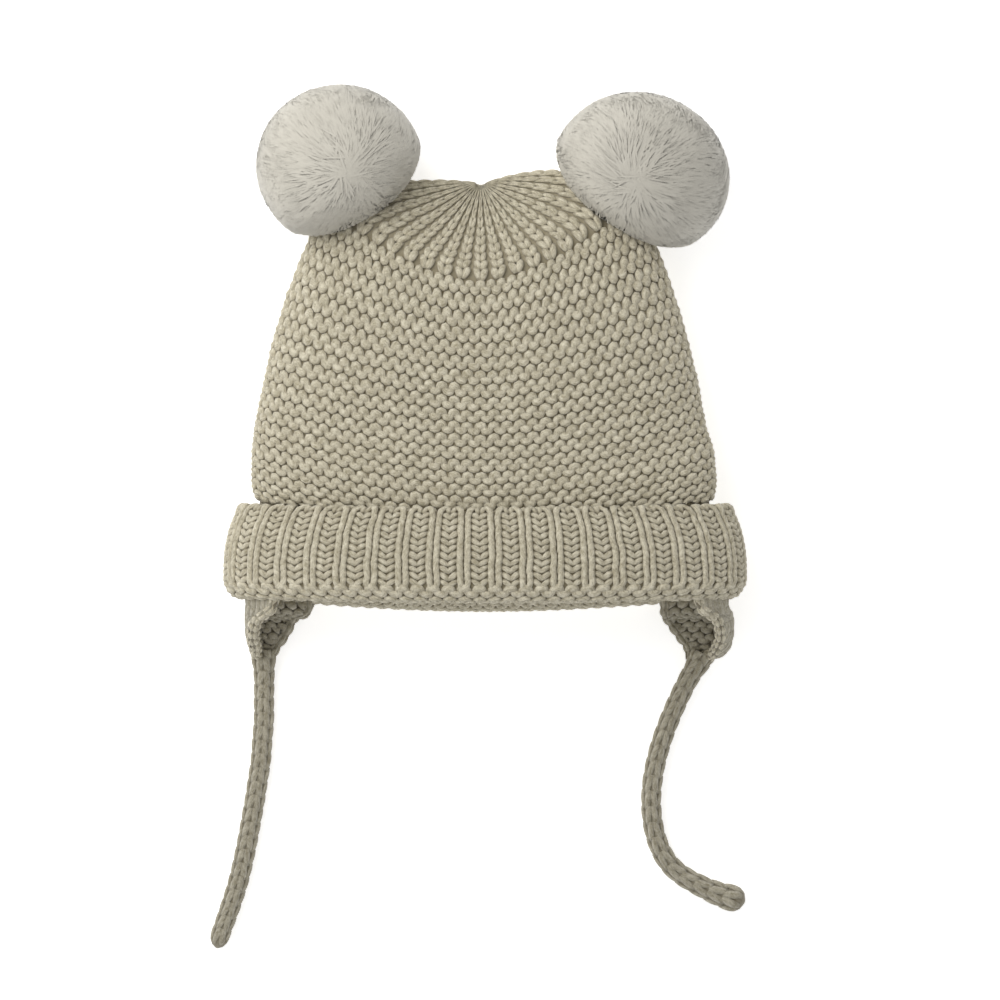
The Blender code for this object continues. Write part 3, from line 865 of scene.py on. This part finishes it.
class HAT_OT_ties(bpy.types.Operator):
    """Adds the two knitted cord ties, each with four columns of stitches round it"""

    bl_idname = "hat.ties"
    bl_label = "Ties"

    def execute(self, context):
        for side, pitch, tip_swell in ((-1, 5.0, -0.06), (1, 5.6, 0.36)):
            line = tie_line(side, TIE_POINTS)
            start, end = unit(line[0] - line[1]), unit(line[-1] - line[-2])
            line = np.vstack([line[0] + 6.0 * MM * start, line, line[-1] + 2.2 * MM * end])
            line = even_along(line, TIE_POINTS)
            length = length_of(line)
            radius = TIE_DIAMETER / 2
            left = np.linspace(length, 0, TIE_POINTS)
            rounded = np.sqrt(np.clip(1 - (1 - np.clip(left / radius, 0, 1)) ** 2, 0.02, 1))
            rounded = rounded * (1.06 + 0.30 * np.exp(-(((length - left) / (6 * MM)) ** 2)))
            rounded = rounded * (1 + tip_swell * np.exp(-((left / (13 * MM)) ** 2)))
            face = cord_surface(line, radius * rounded)
            rows = int(round(length / MM / pitch))
            flat = knit_stitches(5.5, length / MM / rows, rows, 4, 1.4, 0.7, 1.9, 0.7, 0.75, 0.15, 0.4)

            def placing(x, y, z):
                shrink = np.interp(1 - y / length, np.linspace(0, 1, TIE_POINTS), rounded[::-1])
                return place(face, x / (22 * MM) + 0.005, y / length, (z - 0.3 * MM) * shrink), None

            stitches = laid(flat, placing, 1.3)
            mesh = joined("tie", stitches, cord_middle(line, (radius - 0.5 * MM) * rounded, 12, 0.4))
            name = SIDE_NAME[side]
            # Painted shade: the ties take the darkened copy of the yarn.
            obj = piece(f"knitted_tie_{name}", mesh, shaded_yarn_material(), "cord_knit", f"tie_{name}")
        return {"FINISHED"}


class HAT_OT_crown(bpy.types.Operator):
    """Adds the garter-stitch crown and the wall behind its stitches"""

    bl_idname = "hat.crown"
    bl_label = "Crown"

    def execute(self, context):
        settings = context.scene.hat_yarn
        face = crown_surface()
        ridges = GARTER_RIDGES + PARTIAL_RIDGES
        flat = garter_stitches(settings.radius, STITCHES_ROUND, ridges)
        level = 2 / GARTER_RIDGES
        turns = np.arange(RING_COLUMNS + 1) / RING_COLUMNS
        span = place(face, turns[:-1], level / 2, 0.0)[:, 1] - face.points[0, :, 1]
        span = np.append(span, span[0])

        def placing(x, y, z):
            u = x / (STITCHES_ROUND * STITCH_WIDTH * MM) + 0.5
            ridge = y / (RIDGE_HEIGHT * MM) + 0.5 - PARTIAL_RIDGES
            stitch = u * STITCHES_ROUND
            u = u + settings.unevenness * uneven(stitch + 0.5, ridge, STITCHES_ROUND, 1) / 0.36
            lift = settings.unevenness * uneven(stitch + 0.5, ridge, STITCHES_ROUND, 2)
            stray = settings.unevenness / MM / RIDGE_HEIGHT
            ridge = ridge + stray * uneven(stitch, ridge, STITCHES_ROUND, 3)
            low = level * (1 - HEM_RIDGE_STEP * (2 - ridge) / np.interp(u % 1, turns, span))
            rows = np.where(ridge >= 2, ridge / GARTER_RIDGES, low)
            return place(face, u, rows / 2, z - GARTER_SINK + lift), rows > 0.012

        stitches = laid(flat, placing, STITCH_DEPTH)
        piece("crown_garter_stitches", stitches, yarn_material(), "garter_knit")

        # The wall behind the stitches, knitted inside too. Outside it takes the hollows' colour as painted
        # shade, and inside, the hollows between its purl bumps get painted shade.
        columns = 3 * STITCHES_ROUND
        turns = np.arange(columns) / columns
        rings, nearness = [], []
        for rows in np.linspace(0.012, 2, 40):
            under = np.interp(rows, (0.95, 1.1, 1.85, 2.0), (1.5, 0.9, 0.7, 0.4))
            rings.append(place(face, turns, rows / 2, -under * MM))
            nearness.append(np.full(columns, 0.3 if rows > 1 else 0.0))
        outer = len(rings)
        for rows in np.linspace(1.62, 0, 87):
            bump = np.sin(math.pi * GARTER_RIDGES * rows) ** 2
            purl = np.cos(2 * math.pi * STITCHES_ROUND * turns)
            relief = 0.7 * bump * (0.65 + 0.35 * purl)
            depth = -(0.82 + 0.2 * (1 - relief)) * CROWN_WALL
            rings.append(place(face, turns, rows / 2, depth))
            nearness.append(1.15 * (1 - relief / 0.7) ** 0.6)
        wall = shell(rings, caps=(outer - 1, outer), closed=True)
        keep(wall, "nearness", np.concatenate([*nearness, [0.0, 0.5]]))
        piece("crown_wall", wall, yarn_material(), "garter_knit", "crown")
        return {"FINISHED"}


class HAT_OT_gather(bpy.types.Operator):
    """Adds the knit columns that are drawn together at the crown's top"""

    bl_idname = "hat.gather"
    bl_label = "Gathered top"

    def execute(self, context):
        face = crown_surface()
        flat = knit_stitches(
            GATHER_WIDTH, GATHER_PITCH, GATHER_ROWS, GATHER_COLUMNS, 1.6, 1.45, 2.15, 0.45, 0.5
        )
        around = np.linalg.norm(face.points - np.roll(face.points, 1, axis=1), axis=2).sum(axis=1)
        narrowing = np.sqrt(around / around[CROWN_ROWS // 2])
        levels = np.linspace(0, 2, CROWN_ROWS)
        rising = np.linalg.norm(np.diff(face.points, axis=0), axis=2).mean(axis=1)
        risen = np.concatenate([[0], np.cumsum(rising)])
        bottom, top = np.interp((1.03, 1.97), levels, risen)

        def placing(x, y, z):
            u = x / (GATHER_COLUMNS * GATHER_WIDTH * MM)
            row = y / (GATHER_PITCH * MM)
            column = u * GATHER_COLUMNS
            stray = context.scene.hat_yarn.unevenness / MM
            u = u + stray * 0.2 * uneven(column + 0.5, row, GATHER_COLUMNS, 4) / GATHER_COLUMNS
            row = row + stray * 0.6 * uneven(column + 0.5, row * 0.5, GATHER_COLUMNS, 5)
            rows = np.interp(bottom + (top - bottom) * row / (GATHER_ROWS - 0.6), risen, levels)
            thin = np.interp(rows, levels, narrowing)
            return place(face, u, rows / 2, (z - 0.5 * MM) * thin), None

        stitches = laid(flat, placing, 2.6)
        piece("gathered_top_stitches", stitches, yarn_material(), "garter_knit")
        return {"FINISHED"}


class HAT_OT_cuff(bpy.types.Operator):
    """Adds the ribbed cuff: its ribs, the garter rows round its fold and the wall behind them"""

    bl_idname = "hat.cuff"
    bl_label = "Cuff"

    def execute(self, context):
        settings = context.scene.hat_yarn
        stray = settings.unevenness / MM
        face = cuff_surface()
        section, along = cuff_section()
        length = along[-1]
        outside = section[:, 0] > 0.9
        first_outside = int(np.flatnonzero(outside)[0])
        rib_start = np.interp(0.165, section[first_outside - 4:, 1], along[first_outside - 4:])
        lip = along[int(np.argmax(section[:, 1]))]
        rib_room = lip - rib_start

        # Chevrons between the ribs and the two smooth strands of each rib
        bm = bmesh.new()
        chevron = [
            (-3.3, 0.9, -1.1), (-2.6, 0.8, -0.5), (-1.85, 0.45, -0.1), (-0.95, -0.2, -0.05),
            (0, -0.7, -0.25),
        ]
        chevron += [(-x, y, z) for x, y, z in chevron[-2::-1]]
        swell = [(0.8, 0.8), (0.95, 0.95), (1.12, 1.05), (1.12, 1.05)]
        strand(bm, chevron, [*swell, (0.95, 0.95), *swell[::-1]])
        half = RIB_WIDTH / 2
        for side in (-1, 1):
            start, end = (side * (half - 1.0), -1.9, -0.4), (side * (half - 1.75), 2.2, -0.3)
            knit_leg(bm, start, end, 0.35, 1.32, 1.2, 0.72)
        rows = repeated(bm, (RIB_UNITS, RIB_WIDTH), (RIB_ROWS, RIB_PITCH), joined=False)

        # The cast-off edge: two arches over each column of chevrons
        bm = bmesh.new()
        arch = (
            (4.4, -2.8, -0.6), (4.35, -1.0, 0.1), (4.05, 0.7, 0.35), (3.3, 2.1, 0.35), (2.2, 2.8, 0.25),
            (1.25, 2.3, 0.1), (0.9, 0.8, -0.2), (0.9, -0.9, -1.0),
        )
        swell = [(1.0, 0.9), (1.3, 1.15), *[(1.35, 1.2)] * 3, (1.25, 1.15), (1.1, 1.0), (0.8, 0.8)]
        for side in (-1, 1):
            strand(bm, [(side * x, y, z) for x, y, z in arch], swell)
        arches = repeated(bm, (RIB_UNITS, RIB_WIDTH), (1, RIB_PITCH), joined=False)

        def place_rows(x, y, z):
            u = (x / (RIB_WIDTH * MM) + RIB_PHASE + 0.5) / RIB_UNITS
            rib = u * RIB_UNITS
            row = y / (RIB_PITCH * MM)
            u = u + 0.12 * stray * uneven(rib, row, RIB_UNITS, 6) / RIB_UNITS
            row = row + 0.6 * stray * uneven(rib * 2, row, 2 * RIB_UNITS, 7)
            v = rib_start + 0.7 * MM + row * (rib_room - 6.2 * MM) / (RIB_ROWS - 1)
            return place(face, u, v / length, z - 1.0 * MM), None

        def place_arches(x, y, z):
            u = (x / (RIB_WIDTH * MM) + RIB_PHASE + 0.5) / RIB_UNITS
            v = lip - 4.0 * MM + y
            return place(face, u, v / length, z - 0.9 * MM), None

        ribs = joined("ribs", laid(rows, place_rows, STITCH_DEPTH), laid(arches, place_arches, STITCH_DEPTH))
        piece("cuff_ribs", ribs, yarn_material(), "rib_knit")

        # Garter rows from the foot of the ribs, round the fold and up inside
        garter_rows = 9
        flat = garter_stitches(settings.radius, STITCHES_ROUND, garter_rows)

        def place_garter(x, y, z):
            u = x / (STITCHES_ROUND * STITCH_WIDTH * MM)
            row = y / (RIDGE_HEIGHT * MM) + 0.5
            stitch = u * STITCHES_ROUND
            across = 0.05 * stray * uneven(stitch, row, STITCHES_ROUND, 9) / STITCHES_ROUND
            row = row + 0.2 * stray * uneven(stitch + 0.5, row, STITCHES_ROUND, 8)
            u = u + 0.5 + (RIB_PHASE + 0.5) / RIB_UNITS
            u = u + across
            return place(face, u, row * rib_start / garter_rows / length, z - GARTER_SINK), None

        piece("cuff_fold_stitches", laid(flat, place_garter, STITCH_DEPTH), yarn_material(), "rib_knit")

        # The wall behind: round the section a little inside, and back down the pocket
        columns = 2 * STITCHES_ROUND
        turns = np.arange(columns) / columns
        rings = [place(crown_surface(), turns, 0.02, -3.4 * MM)]
        rings += [place(face, turns, v, -1.5 * MM) for v in np.linspace(0.004, 1, 48)]
        for reach, rise in (
            (0.29, 0.86), (0.49, 0.62), (0.54, 0.36), (0.31, 0.18), (0.03, 0.38), (0.0, 0.83),
        ):
            rings.append(np.maximum(even_points(cuff_line(reach, rise), columns), (-1, -1, 0)))
        wall = shell(rings, closed=True)
        # Painted shade: the wall behind the ribs takes almost the hollows' colour.
        keep(wall, "nearness", 0.12)
        piece("cuff_wall", wall, yarn_material(), "rib_knit", "cuff")
        return {"FINISHED"}


class HAT_OT_flaps(bpy.types.Operator):
    """Adds the ear flaps: garter stitches inside, a smooth outside and a rolled border"""

    bl_idname = "hat.flaps"
    bl_label = "Ear flaps"

    def execute(self, context):
        settings = context.scene.hat_yarn
        for side in (-1, 1):
            face = flap_surface(side)
            inside = flap_inside(face)
            widths = np.linalg.norm(np.diff(face.points, axis=1), axis=2).sum(axis=1)
            lengths = np.linalg.norm(np.diff(face.points, axis=0), axis=2).sum(axis=0)
            length = lengths.mean()
            flat = garter_stitches(settings.radius, 12, 8)

            def placing(x, y, z):
                across = x - 6 * STITCH_WIDTH * MM
                v = (y * 4.7 / RIDGE_HEIGHT + 1 * MM) / length
                width = np.interp(v, np.linspace(0, 1, len(widths)), widths)
                u = 0.5 + across / width
                h = side * (FLAP_WALL / 2 + z - GARTER_SINK)
                room = 0.5 - 2.6 * MM / width
                return place(inside, u, v, h), (np.abs(u - 0.5) < room) & (v < 0.99)

            # Painted shade: nearest 0.95 makes the inner garter stitches a little darker all over.
            stitches = laid(flat, placing, STITCH_DEPTH, 0.95)
            count = int(widths.max() / MM / 4.4) + 2
            smooth = knit_stitches(4.4, 4.7, 8, count, 1.5, 0.5, 1.25, 0.95, 0.75, 0.2, 0.3)

            def place_outside(x, y, z):
                v = y / length
                width = np.interp(v, np.linspace(0, 1, len(widths)), widths)
                u = 0.5 + (x - (count - 1) / 2 * 4.4 * MM) / width
                h = -side * (FLAP_WALL / 2 + z - 0.6 * MM)
                return place(face, u, v, h), (np.abs(u - 0.5) < 0.49) & (v < 0.98)

            outside = laid(smooth, place_outside, 2.0)
            rings = []
            across = np.linspace(0, 1, 33)
            for v in np.linspace(0, 1, 30):
                over = place(inside, across, v, side * (FLAP_WALL / 2 - 1.6 * MM))
                under = place(face, across[::-1], v, -side * (FLAP_WALL / 2 - 0.9 * MM))
                rings.append(np.vstack([over, under]))
            wall = shell(rings, caps=(0, -1))
            # Painted shade: the flap's wall takes almost the hollows' colour.
            keep(wall, "nearness", 0.1)
            borders = []
            for edge in (0, -1):
                inward = unit(inside.points[:, 2 if edge == 0 else -3] - inside.points[:, edge])
                line = through_points(inside.points[:, edge] + inward * 2.0 * MM, BORDER_POINTS)
                reach = length_of(line)
                cord = cord_surface(line, np.full(BORDER_POINTS, 2.35 * MM))
                rows = int(round(reach / MM / 4.6))
                loops = knit_stitches(4.9, reach / MM / rows, rows, 3, 1.3, 0.85, 1.4, 0.95)

                def place_border(x, y, z):
                    return place(cord, x / (14.7 * MM), y / reach, z - 0.7 * MM), None

                core = cord_middle(line, np.full(BORDER_POINTS, 1.7 * MM), 10, 0.5)
                borders.append(joined("border", laid(loops, place_border, 2.0), core))
            mesh = joined("flap", stitches, outside, borders[1])
            name = SIDE_NAME[side]
            # The front border keeps the plain yarn and so is painted lighter than the rest of the flap,
            # which takes the darkened copy as painted shade.
            piece(f"flap_front_border_{name}", borders[0], yarn_material(), "flap_knit")
            piece(f"flap_stitches_{name}", mesh, shaded_yarn_material(), "flap_knit")
            piece(f"flap_wall_{name}", wall, shaded_yarn_material(), "flap_knit", f"ear_flap_{name}")
        return {"FINISHED"}


def toward_middle(centre):
    """The level direction from a pompom's middle to the hat's."""
    return -centre * (1, 1, 0) / np.linalg.norm(centre[:2])


def pressed(offsets, centre):
    """Fur that gives way where the crown holds it, on the side towards the hat's middle."""
    toward = toward_middle(centre)
    past = np.maximum(offsets @ toward - 10 * MM, 0)
    return offsets - 0.4 * past[..., None] * toward


class HAT_OT_pompoms(bpy.types.Operator):
    """Adds the two fur pompoms that stand for ears"""

    bl_idname = "hat.pompoms"
    bl_label = "Pompoms"

    def execute(self, context):
        settings = context.scene.hat_fur
        material = shared("ivory acrylic faux fur", faux_fur, settings)
        face = crown_surface()
        grid = face.points[::2, ::2] + 0.2 * MM * face.normals[::2, ::2]
        rows, columns = grid.shape[:2]
        quads = [
            (i * columns + j, i * columns + (j + 1) % columns, (i + 1) * columns + (j + 1) % columns,
             (i + 1) * columns + j)
            for i in range(rows - 1) for j in range(columns)
        ]
        skin = BVHTree.FromPolygons([tuple(p) for p in grid.reshape(-1, 3)], quads)
        for side in (-1, 1):
            centre = np.array((
                side * POMPOM_FROM_CENTRE[side], POMPOM_RISE[side] - middle(),
                POMPOM_SQUASH * POMPOM_DIAMETER / 2 - 1.8 * MM,
            ))
            turn = Matrix.Rotation(math.radians(POMPOM_TURN[side]), 3, "Z")
            shape = np.array(turn @ Matrix.Diagonal((POMPOM_STRETCH[side], 1, POMPOM_SQUASH)))
            across, rise = POMPOM_PARTING[side]
            pole = (np.array((across, rise - middle(), 0)) - centre) / (POMPOM_DIAMETER / 2)
            pole[2] = math.sqrt(max(0.05, 1 - pole[0] ** 2 - pole[1] ** 2))
            tufts = self.tufts(settings, centre, shape, pole, skin, 11 + side)
            ball = self.ball(centre, shape, skin)
            name = SIDE_NAME[side]
            fur = piece(f"pompom_fur_{name}", tufts, material, "fur").data
            outwards = (corners(fur) - centre) / np.array((POMPOM_STRETCH[side], 1, POMPOM_SQUASH)) ** 2
            # Fur takes the light like the ball that it covers, not like a bundle of sticks
            length = np.linalg.norm(outwards, axis=1)
            over_knit = np.clip((outwards @ toward_middle(centre) / length - 0.2) / 0.3, 0, 1)
            outwards[:, 2] = np.maximum(outwards[:, 2], (0.5 * over_knit - 0.07) * length)
            fur.normals_split_custom_set_from_vertices(unit(outwards).tolist())
            piece(f"pompom_core_{name}", ball, material, "fur", f"pompom_{name}")
        return {"FINISHED"}

    def ball(self, centre, shape, skin):
        """The dense ball of fur under the tufts."""
        bm = bmesh.new()
        bmesh.ops.create_icosphere(bm, subdivisions=4, radius=1)
        for vert in bm.verts:
            offset = Vector(pressed(shape @ np.array(vert.co) * (POMPOM_DIAMETER / 2 - 0.85 * MM), centre))
            hit = skin.ray_cast(Vector(centre), offset.normalized(), offset.length)
            if hit[0] is not None:
                offset = offset.normalized() * hit[3]
            vert.co = Vector(centre) + offset
            vert.co.z = max(vert.co.z, 0)
        mesh = as_mesh(bm, "ball")
        # Painted shade: the ball under the tufts takes a colour between the roots' and the tips'.
        keep(mesh, "nearness", 0.55)
        keep(mesh, "tone", 0.4)
        return mesh

    def tufts(self, settings, centre, shape, pole, skin, seed):
        """Pointed tufts that lie outwards from the parting all over the ball."""
        pick = np.random.default_rng(seed)
        count = settings.strands
        bm = bmesh.new()
        strand(bm, [(0, 0, 0), (0, 1, 0), (0, 2, 0)], [(1, 1)] * 3, sides=3)
        mesh = repeated(bm, (count, 10.0), (1, 1.0), joined=False)
        flat = corners(mesh) / MM
        size = len(flat) // count
        flat = flat.reshape(count, size, 3)
        flat[:, :, 0] -= 10.0 * np.arange(count)[:, None]
        at = np.clip(flat[:, :, 1] / 2, 0, 1)

        # Roots spread evenly over the ball, by the sunflower rule
        index = np.arange(count) + 0.5
        z = 1 - 2 * index / count
        spin = index * math.pi * (3 - math.sqrt(5))
        flat_radius = np.sqrt(1 - z * z)
        root = np.stack([flat_radius * np.cos(spin), flat_radius * np.sin(spin), z], axis=1)
        root += pick.normal(0, 0.02, root.shape)
        root /= np.linalg.norm(root, axis=1)[:, None]
        parting = pole + pick.normal(0, 0.07, root.shape)
        away = root - np.sum(root * parting, axis=1)[:, None] * parting
        away -= np.sum(away * root, axis=1)[:, None] * root
        away /= np.maximum(np.linalg.norm(away, axis=1), 1e-6)[:, None]
        beside = np.cross(root, away)
        # Locks: neighbours share a lean, about 6 mm across
        places = root * 4.5
        lock = np.zeros(count)
        for k in range(6):
            wave = pick.normal(0, 1, 3)
            wave *= (1.1 + 0.5 * k) / np.linalg.norm(wave)
            lock += np.sin(places @ wave + pick.uniform(0, 6.28)) / (1 + 0.4 * k)
        beside_parting = np.clip(1 - np.linalg.norm(root - pole, axis=1) / 0.3, 0, 1)
        lean = 0.22 * lock + pick.normal(0, 0.10, count) + 0.4 * beside_parting * pick.normal(0, 1, count)
        along = np.cos(lean)[:, None] * away + np.sin(lean)[:, None] * beside
        radius = POMPOM_DIAMETER / 2
        reach = settings.length / radius * pick.uniform(0.75, 1.2, count) * (1 - 0.3 * beside_parting)
        outer = 1.0 + pick.normal(0, 0.004, count) + 0.010 * np.sin(lock * 2)
        # Wisps that reach out over the knit
        wisp = np.clip((root @ toward_middle(centre) - 0.5) / 0.3, 0, 1)
        outer += wisp * pick.uniform(0, 0.08, count) ** 1.3
        reach *= 1 + 0.5 * wisp
        s = at[:, :, None]
        direction = root[:, None] + along[:, None] * (reach[:, None, None] * s)
        direction /= np.linalg.norm(direction, axis=2)[:, :, None]
        inner = 0.971
        out = inner + (outer[:, None, None] - inner) * (1 - (1 - s) ** 1.8)
        spine = direction * out * radius
        # The cross-section: widest a third of the way, and pointed at the tip
        width = 0.46 * MM * np.interp(at, (0, 0.5, 1), (0.8, 1.0, 0.06))[:, :, None]
        cross = flat[:, :, 0:1] * np.cross(direction, along[:, None]) + 0.32 * flat[:, :, 2:3] * direction
        offset = (spine + cross * width) @ shape.T
        points = centre + pressed(offset, centre)
        points = points.reshape(-1, 3)
        # Tufts that would run into the knit lie on it instead
        box = (points[:, 1] < centre[1] + 12 * MM)
        for i in np.flatnonzero(box):
            point = Vector(points[i])
            spot, normal, _, _ = skin.find_nearest(point, 12 * MM)
            if spot is not None and (point - spot).dot(normal) < 0.3 * MM:
                points[i] = spot + normal * 0.3 * MM
        points[:, 2] = np.maximum(points[:, 2], 0)
        mesh.vertices.foreach_set("co", points.ravel())
        # Painted shade: each tuft is darker towards its root, where the next tuft shades it.
        keep(mesh, "nearness", (0.5 + 0.5 * at).ravel())
        keep(mesh, "tone", np.repeat(0.5 + 0.3 * lock / 1.6 + pick.normal(0, 0.13, count), size))
        bm = bmesh.new()
        bm.from_mesh(mesh)
        bmesh.ops.recalc_face_normals(bm, faces=bm.faces)
        bm.to_mesh(mesh)
        bm.free()
        return mesh


class HAT_PT_panel(bpy.types.Panel):
    """Lists the steps that build the hat"""

    bl_idname = "HAT_PT_panel"
    bl_label = "Baby Hat"
    bl_space_type = "VIEW_3D"
    bl_region_type = "UI"
    bl_category = "Baby Hat"

    def draw(self, context):
        layout = self.layout
        for group in (context.scene.hat_yarn, context.scene.hat_fur, context.scene.hat_stage):
            box = layout.box()
            for name in group.bl_rna.properties.keys():
                if name not in ("rna_type", "name"):
                    box.prop(group, name)
        for operator in OPERATORS:
            layout.operator(operator.bl_idname)


SETTINGS = (YarnSettings, FurSettings, StageSettings)
OPERATORS = (
    HAT_OT_stage, HAT_OT_ties, HAT_OT_crown, HAT_OT_gather, HAT_OT_cuff, HAT_OT_flaps, HAT_OT_pompoms,
)


def register():
    for made in (*SETTINGS, *OPERATORS, HAT_PT_panel):
        bpy.utils.register_class(made)
    bpy.types.Scene.hat_yarn = bpy.props.PointerProperty(type=YarnSettings)
    bpy.types.Scene.hat_fur = bpy.props.PointerProperty(type=FurSettings)
    bpy.types.Scene.hat_stage = bpy.props.PointerProperty(type=StageSettings)


def unregister():
    del bpy.types.Scene.hat_stage
    del bpy.types.Scene.hat_fur
    del bpy.types.Scene.hat_yarn
    for made in reversed((*SETTINGS, *OPERATORS, HAT_PT_panel)):
        bpy.utils.unregister_class(made)


def main():
    register()
    bpy.ops.hat.stage()
    bpy.ops.hat.ties()
    bpy.ops.hat.crown()
    bpy.ops.hat.gather()
    bpy.ops.hat.cuff()
    bpy.ops.hat.flaps()
    bpy.ops.hat.pompoms()


if __name__ == "__main__":
    main()
